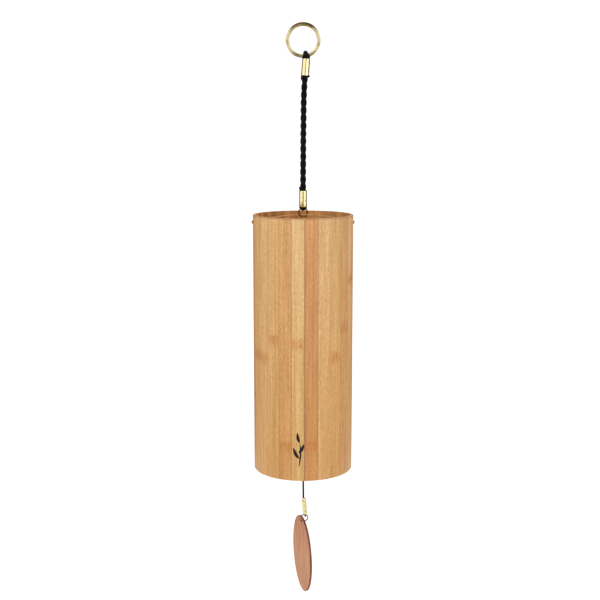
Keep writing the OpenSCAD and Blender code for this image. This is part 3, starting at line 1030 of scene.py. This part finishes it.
def make_stage():
    """Floor, light all round, grey cards for the metal to reflect, and three large lights."""
    make_floor()
    make_world()
    grey = Shader("card_grey")
    grey.set("Base Color", grey.mix(grey.noise(grey.place(), 2.0), srgb(44, 42, 36), srgb(58, 55, 48)))
    add_card("back_card", 100, 260, 2.2, 1.3, grey.material)
    add_card("front_card", -16, 16, 2.4, 0.11, grey.material)
    add_light("key", (-0.9, -1.3, 1.0), 0.9, 9)
    add_light("fill", (1.2, -1.1, 0.3), 0.9, 4)
    add_light("back", (0.3, 1.4, 0.9), 0.8, 5)
    bpy.context.scene.view_settings.view_transform = "Standard"


def add_card(name, start, end, radius, top, material):
    """A grey card round part of the stage, from one angle to another, seen only in reflections."""
    bm = bmesh.new()
    columns = []
    for k in range(25):
        angle = math.radians(start + (end - start) * k / 24)
        x, y = radius * math.sin(angle), -radius * math.cos(angle)
        columns.append([bm.verts.new((x, y, z)) for z in (-0.95, top)])
    for here, there in zip(columns, columns[1:]):
        bm.faces.new((here[0], there[0], there[1], here[1]))
    card = stage_object(name, bm, material)
    card.visible_camera = False
    card.visible_diffuse = False
    card.visible_shadow = False
    card.visible_transmission = False


def add_light(name, place, size, power):
    """Square area light aimed at the middle of the chime."""
    data = bpy.data.lights.new(name, "AREA")
    data.size = size
    data.energy = power
    light = bpy.data.objects.new(name, data)
    light.location = place
    aim = Vector((0, 0, -0.18)) - Vector(place)
    light.rotation_euler = aim.to_track_quat("-Z", "Y").to_euler()
    bpy.context.scene.collection.objects.link(light)


def make_cords(black, brass, pale_brass):
    """All free cords, with what is on them."""
    cord = hanging_cord(black)
    head = [upper_loop(black), lower_loop(black),
            ferrule("upper_crimp", UPPER_FOOT, UPPER_LEAN, "cord_head", "upper_ferrule", brass),
            ferrule("lower_crimp", Vector((0, 0, LOWER_FOOT)), UP, "cord_foot", "lower_ferrule", brass)]
    striker = thin_cord("striker_twine", STRIKER_ROUTE, "striker_cord", "striker", black, 1.4 * MM, 0)
    stop = knot("stop_knot", "striker_stop_knot", 1.9 * MM, "striker_pivot", black)
    line = thin_cord("sail_twine", SAIL_ROUTE, "sail_cord", "sail_line", black, 1.3 * MM, 0.5 * MM)
    end = [knot("sail_line_knot", "sail_knot", 1.8 * MM, "sail_pivot", black), sail_loop(black),
           sail_ferrule(pale_brass)]


def make_rings(ring_metal, link_metal, sail_metal):
    """The split ring at the top, and the two small wire rings."""
    split_ring(ring_metal)
    link_axis = Vector((-math.sin(LINK_TURN), math.cos(LINK_TURN), 0))
    link_radius = size_of("link_ring").z / 2 - WIRE_RADIUS
    jump_ring("link_jump_ring", middle_of("link_ring"), link_axis, link_radius, "link",
              "link_ring", link_metal, gap_at=2.4)
    along = joint_place("sail_ring_swing") - joint_place("sail_swing")
    axis = along.cross(sail_ring_across())
    jump_ring("sail_jump_ring", joint_place("sail_ring_swing"), axis, along.length,
              "sail_link", "sail_ring", sail_metal, gap_at=0.7)


def dress_tube():
    """The rolled tube, its painted sprig and the two wooden rings inside."""
    outer_veneer(bamboo("bamboo_outer", strip_tones(), srgb(164, 84, 32), srgb(120, 74, 40)))
    painted_sprig(dark_ink())
    dress("tube_core_ply", plain_wood("bamboo_core", srgb(196, 150, 100), srgb(150, 102, 62)))
    dress("tube_inner_veneer", plain_wood("bamboo_inner", srgb(198, 142, 84), srgb(150, 98, 50),
                                          (1, 1, 0.03), 700.0))
    ring_wood = plain_wood("ply_ring", srgb(205, 170, 122), srgb(160, 122, 80), (0.12, 1, 1), 800.0)
    dress("plate_retaining_ring", ring_wood, 0.3 * MM)
    dress("plate_seat_ring", ring_wood, 0.3 * MM)


def dress_chime():
    """What hangs and stands inside the tube: plate, rods, solder, eyelet and striker."""
    dress("chime_plate", turned_steel("plate_steel"), 0.25 * MM)
    rod = metal("rod_steel", srgb(214, 215, 216), srgb(160, 160, 158), 0.24, 3000.0, 90.0, 0.3,
                (1, 1, 0.05))
    for i in range(1, RODS + 1):
        dress(f"chime_rod_{i}", rod, 0.2 * MM)
    solder(metal("silver_solder", srgb(196, 197, 198), srgb(140, 138, 132), 0.34, 900.0, 500.0))
    dress("plate_eyelet", metal("eyelet_brass", srgb(226, 196, 124), srgb(150, 112, 60), 0.26), 0.1 * MM)
    dress("striker_disc", clear_acrylic(), 0.35 * MM)


make_camera()
make_cords(black_cord(), ferrule_brass(),
           metal("sail_ferrule_brass", srgb(216, 203, 150), srgb(158, 146, 98), 0.2, 2200.0, 300.0, 0.45))
make_rings(ring_brass(),
           metal("dark_bronze", srgb(124, 66, 30), srgb(70, 28, 10), 0.26, 900.0, 420.0, 0.8),
           metal("sail_ring_metal", srgb(160, 140, 104), srgb(84, 62, 38), 0.26, 900.0, 380.0, 0.7))
dress("cross_wire", metal("bronze_wire", srgb(206, 154, 100), srgb(140, 92, 50), 0.34, 900.0, 200.0, 0.7))
wire_beads(metal("wire_end", srgb(170, 116, 66), srgb(84, 52, 30), 0.4, 900.0, 500.0, 0.8))
dress_tube()
dress_chime()
dress("wind_sail", sail_wood(), 0.4 * MM)
make_stage()
